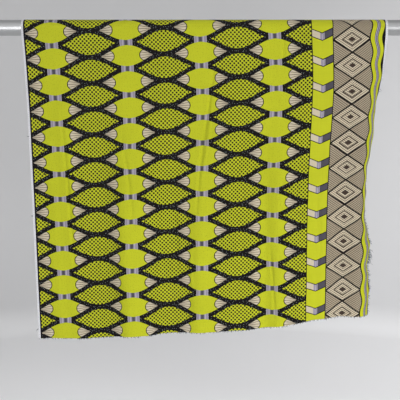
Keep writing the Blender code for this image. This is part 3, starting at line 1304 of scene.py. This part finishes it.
@dataclass
class Studio:
    """The plain studio round the cloth: a pale paper sweep, soft lamps and the camera."""

    middle_radius: float = 0.02
    flat_radius: float = 6.85
    wall_radius: float = 7.2
    wall_top: float = 3.2
    bend_rings: int = 17
    sides: int = 96
    eye: tuple[float, float, float] = (0.0, -2.8535, -0.0586)
    look_down: float = 10.0
    lens: float = 78.42
    sensor: float = 36.0
    sky: str = "#FFFFFF"
    sky_strength: float = 0.52
    lamps: tuple[Softbox, ...] = (
        Softbox("front_lamp", (-0.3, -4.6, -0.72), (0.0, 0.0, -0.5), 4.6, 0.8, 53.0, Reach.LIGHTS),
        Softbox("low_fill", (0.9, -2.5, -1.5), (0.2, 0.0, -0.95), 1.6, 0.5, 35.0, Reach.LIGHTS),
        Softbox("right_lamp", (3.6, -2.4, 0.6), (0.0, 0.0, -0.5), 1.8, 1.8, 20.0, Reach.LIGHTS),
        Softbox("back_lamp", (0.8, 4.4, 0.6), (0.0, 0.0, -0.4), 2.4, 1.8, 64.0, Reach.LIGHTS),
        Softbox("wall_lamp", (0.0, 3.0, 0.6), (-0.6, 7.0, -1.0), 4.0, 2.0, 18.0, Reach.LIGHTS),
        Softbox("gridded_lamp", (1.6, 1.2, 0.9), (3.9, 5.9, -2.1), 1.6, 1.6, 31.0, Reach.LIGHTS, 80.0),
        Softbox("floor_lamp", (-0.9, 5.2, -1.3), (-0.9, 5.3, -3.3), 3.0, 1.2, 4.4, Reach.LIGHTS),
        Softbox("top_lamp", (0.0, 0.2, 3.0), (0.0, 0.0, 0.0), 3.0, 3.0, 24.0, Reach.LIGHTS),
        Softbox("streak_card", (-0.6, -4.6, -0.32), (0.0, 0.0, 0.0), 5.2, 1.8, 130.0, Reach.MIRRORED),
        Softbox("upper_card", (0.0, -2.6, 2.6), (0.0, 0.0, 0.0), 5.0, 3.8, 29.0, Reach.MIRRORED),
    )

    def sweep(self, finish: bpy.types.Material) -> bpy.types.Object:
        """Makes the sweep: a flat floor, a quarter-circle bend and an upright wall, turned round the cloth.

        Args:
            finish: the paper's material.

        Returns:
            The sweep, marked as stage.
        """
        turn = np.linspace(0.0, math.pi / 2, self.bend_rings)
        bend = self.wall_radius - self.flat_radius
        bent = self.flat_radius + bend * np.sin(turn)
        radii = np.concatenate([[self.middle_radius], bent, [self.wall_radius]])
        heights = np.concatenate([[0.0], bend * (1.0 - np.cos(turn)), [self.wall_top - FLOOR]]) + FLOOR
        angle = np.linspace(0.0, 2 * math.pi, self.sides, endpoint=False)[None, :]
        points = np.stack([radii[:, None] * np.cos(angle), radii[:, None] * np.sin(angle),
                           heights[:, None] + 0.0 * angle], axis=-1)
        rings = len(radii)
        index = np.arange(rings * self.sides).reshape(rings, self.sides)
        turned = np.roll(index, -1, axis=1)
        walls = np.stack([index[:-1], index[1:], turned[1:], turned[:-1]], axis=-1).reshape(-1, 4).tolist()
        mesh = bpy.data.meshes.new("paper_sweep")
        mesh.from_pydata(points.reshape(-1, 3).tolist(), [], [*walls, index[0].tolist()])
        mesh.shade_smooth()
        mesh.materials.append(finish)
        sweep = bpy.data.objects.new("paper_sweep", mesh)
        bpy.context.scene.collection.objects.link(sweep)
        return sweep

    def light(self) -> None:
        """Adds the soft lamps, which the camera doesn't see, and the even light of the room."""
        for box in self.lamps:
            lamp = bpy.data.lights.new(box.name, "AREA")
            lamp.shape = "RECTANGLE"
            lamp.size, lamp.size_y = box.width, box.height
            lamp.energy = box.watts
            lamp.spread = math.radians(box.spread)
            holder = bpy.data.objects.new(box.name, lamp)
            holder.location = box.place
            holder.rotation_euler = (Vector(box.aim) - Vector(box.place)).to_track_quat("-Z", "Y").to_euler()
            holder.visible_camera = False
            holder.visible_diffuse = box.reach is Reach.LIGHTS
            holder.visible_glossy = box.reach is Reach.MIRRORED
            bpy.context.scene.collection.objects.link(holder)
        world = bpy.data.worlds.new("even_room")
        world.use_nodes = True
        background = world.node_tree.nodes["Background"]
        background.inputs["Color"].default_value = linear(self.sky)
        background.inputs["Strength"].default_value = self.sky_strength
        bpy.context.scene.world = world

    def camera(self) -> bpy.types.Object:
        """Adds the camera at the photograph's angle, and sets colours to be shown as they are.

        Returns:
            The camera.
        """
        data = bpy.data.cameras.new("studio_camera")
        data.lens = self.lens
        data.sensor_width = self.sensor
        camera = bpy.data.objects.new("studio_camera", data)
        camera.location = self.eye
        camera.rotation_euler = (math.radians(90.0 - self.look_down), 0.0, 0.0)
        bpy.context.scene.collection.objects.link(camera)
        bpy.context.scene.camera = camera
        bpy.context.scene.view_settings.view_transform = "Standard"
        return camera


FRONT_FOLDS = (
    Fold(0.560, 0.00, 0.05, 0.95, 0.560, 0.014),
    Fold(0.030, 0.01, 0.18, 0.61, 0.045, -0.0043),
    Fold(0.108, 0.04, 0.10, 0.34, 0.050, 0.0052),
    Fold(0.210, 0.03, 0.11, 0.51, 0.100, -0.0103),
    Fold(0.285, 0.02, 0.27, 0.65, 0.045, 0.0043),
    Fold(0.345, 0.00, 0.07, 0.42, 0.090, 0.0103),
    Fold(0.425, -0.03, 0.24, 0.61, 0.040, 0.0043),
    Fold(0.500, -0.04, 0.15, 0.54, 0.095, -0.0103),
    Fold(0.575, -0.02, 0.33, 0.67, 0.045, 0.0052),
    Fold(0.660, -0.07, 0.03, 0.34, 0.090, 0.0112),
    Fold(0.745, 0.03, 0.18, 0.51, 0.080, -0.0103),
    Fold(0.815, 0.01, 0.36, 0.65, 0.045, 0.0052),
    Fold(0.860, 0.00, 0.03, 0.31, 0.085, 0.0095),
    Fold(0.920, 0.00, 0.30, 0.63, 0.040, 0.0043),
    Fold(0.965, -0.01, 0.09, 0.41, 0.070, -0.0086),
    Fold(1.045, 0.00, 0.10, 0.45, 0.075, -0.0180),
)
BACK_FOLDS = (
    Fold(0.070, 0.02, 0.15, 0.55, 0.060, -0.008),
    Fold(0.165, -0.02, 0.25, 0.60, 0.070, 0.007),
    Fold(0.260, -0.02, 0.20, 0.65, 0.075, -0.010),
    Fold(0.345, 0.04, 0.30, 0.70, 0.050, 0.006),
    Fold(0.430, 0.03, 0.12, 0.55, 0.070, -0.009),
    Fold(0.520, 0.00, 0.28, 0.72, 0.060, 0.007),
    Fold(0.610, 0.00, 0.10, 0.50, 0.080, -0.011),
    Fold(0.710, -0.03, 0.25, 0.65, 0.065, 0.007),
    Fold(0.800, 0.02, 0.15, 0.60, 0.070, -0.008),
    Fold(0.890, 0.01, 0.30, 0.70, 0.055, 0.005),
)
FRONT_CREASES = (
    Crease(0.106, 0.24, 0.134, 0.84, 0.003, 0.009, -0.0043),
    Crease(0.124, 0.40, 0.148, 0.66, -0.003, 0.008, 0.0022),
    Crease(0.172, 0.80, 0.146, 1.00, 0.004, 0.010, -0.0032),
    Crease(0.190, 0.86, 0.168, 1.02, -0.002, 0.008, 0.0020),
    Crease(0.300, 0.31, 0.341, 0.68, 0.006, 0.010, -0.0035),
    Crease(0.232, 0.62, 0.218, 0.90, -0.004, 0.010, 0.0024),
    Crease(0.398, 0.74, 0.384, 0.98, 0.003, 0.009, -0.0026),
    Crease(0.621, 0.06, 0.548, 0.64, -0.010, 0.010, -0.0046),
    Crease(0.600, 0.22, 0.566, 0.50, 0.005, 0.009, 0.0027),
    Crease(0.436, 0.05, 0.424, 0.27, 0.003, 0.009, 0.0020),
    Crease(0.470, 0.50, 0.486, 0.86, 0.006, 0.010, -0.0032),
    Crease(0.530, 0.70, 0.545, 0.94, -0.004, 0.009, 0.0023),
    Crease(0.664, 0.46, 0.690, 0.80, -0.006, 0.010, 0.0027),
    Crease(0.798, 0.70, 0.818, 0.98, 0.003, 0.009, -0.0043),
    Crease(0.836, 0.00, 0.832, 0.15, 0.002, 0.008, -0.0032),
    Crease(0.742, 0.18, 0.756, 0.42, 0.005, 0.010, 0.0023),
    Crease(0.905, 0.34, 0.893, 0.62, -0.004, 0.009, -0.0030),
    Crease(0.962, 0.50, 0.975, 0.78, 0.003, 0.009, -0.0027),
    Crease(0.058, 0.06, 0.050, 0.24, 0.002, 0.008, -0.0019),
)
BACK_CREASES = (
    Crease(0.120, 0.10, 0.141, 0.44, 0.005, 0.010, -0.0038),
    Crease(0.205, 0.34, 0.190, 0.66, -0.004, 0.009, 0.0024),
    Crease(0.262, 0.46, 0.276, 0.70, 0.003, 0.009, -0.0026),
    Crease(0.318, 0.05, 0.330, 0.30, 0.004, 0.010, -0.0030),
    Crease(0.402, 0.38, 0.425, 0.70, 0.005, 0.010, -0.0035),
    Crease(0.480, 0.12, 0.470, 0.36, -0.003, 0.009, 0.0023),
    Crease(0.566, 0.26, 0.590, 0.62, 0.007, 0.010, -0.0041),
    Crease(0.668, 0.08, 0.655, 0.33, -0.004, 0.009, 0.0024),
    Crease(0.700, 0.50, 0.684, 0.72, 0.003, 0.009, -0.0027),
    Crease(0.752, 0.42, 0.770, 0.74, 0.004, 0.010, -0.0032),
    Crease(0.846, 0.15, 0.838, 0.45, -0.005, 0.010, 0.0023),
    Crease(0.052, 0.30, 0.060, 0.60, 0.003, 0.009, 0.0019),
)
FRONT_RIPPLES = (
    Ripple(0.720, 0.280, 0.0040, 0.120),
    Ripple(0.150, 0.034, 0.0020, 0.080),
    Ripple(0.235, 0.038, -0.0026, 0.080),
    Ripple(0.345, 0.046, 0.0034, 0.095),
    Ripple(0.455, 0.038, -0.0040, 0.090),
    Ripple(0.540, 0.034, 0.0046, 0.085),
    Ripple(0.628, 0.040, -0.0044, 0.085),
    Ripple(0.716, 0.034, 0.0060, 0.080),
    Ripple(0.790, 0.032, -0.0052, 0.075),
    Ripple(0.872, 0.032, 0.0048, 0.070),
)
BACK_RIPPLES = (
    Ripple(0.210, 0.032, -0.0016, 0.050),
    Ripple(0.320, 0.040, 0.0020, 0.055),
    Ripple(0.430, 0.034, -0.0022, 0.050),
    Ripple(0.560, 0.040, 0.0024, 0.055),
    Ripple(0.680, 0.034, -0.0020, 0.045),
)
FRONT_RIGHT_TUFTS = (
    Tuft(0.205, 3, 0.010, 0.010),
    Tuft(0.520, 9, 0.050, 0.008),
    Tuft(0.620, 22, 0.070, 0.010),
    Tuft(0.690, 30, 0.060, 0.010),
    Tuft(0.764, 70, 0.045, 0.015),
    Tuft(0.815, 34, 0.060, 0.010),
    Tuft(0.880, 22, 0.060, 0.008),
    Tuft(0.935, 12, 0.040, 0.008),
)
FRONT_LEFT_TUFTS = (
    Tuft(0.352, 2, 0.006, 0.008),
    Tuft(0.612, 4, 0.008, 0.010),
    Tuft(1.004, 4, 0.008, 0.009),
)
BACK_RIGHT_TUFTS = (
    Tuft(0.300, 6, 0.040, 0.010),
    Tuft(0.610, 9, 0.060, 0.013),
)
BACK_LEFT_TUFTS = (
    Tuft(0.240, 3, 0.012, 0.009),
    Tuft(0.530, 4, 0.030, 0.010),
)


def main() -> None:
    """Builds the studio, dresses the rod and makes the cloth's three stretches with their loose yarns."""
    logging.basicConfig(level=logging.INFO, format="%(message)s")
    studio = Studio()
    studio.camera()
    studio.light()
    studio.sweep(PaperSweep().material())

    cotton = PrintedCotton().material()
    yarn = LooseYarn().material()
    pieces = [Rod().dress(SatinSteel().material()), OverRod().build(cotton)]
    front = Fall(Side.FRONT, "front_fall", FRONT_FOLDS, FRONT_CREASES, FRONT_RIPPLES, rows=122)
    back = Fall(Side.BACK, "back_fall", BACK_FOLDS, BACK_CREASES, BACK_RIPPLES, rows=94)
    for loose in (
        LooseYarns(front, FRONT_RIGHT_TUFTS, FRONT_LEFT_TUFTS, fray_count=420),
        LooseYarns(back, BACK_RIGHT_TUFTS, BACK_LEFT_TUFTS, fray_count=360),
    ):
        cloth = loose.fall.build(cotton)
        yarns = loose.build(yarn)
        loose.fall.declare(cloth, [yarns])
        pieces += [cloth, yarns]
    for piece in pieces:
        log.info("%s: %d faces", piece.name, len(piece.data.polygons))


if __name__ == "__main__":
    main()
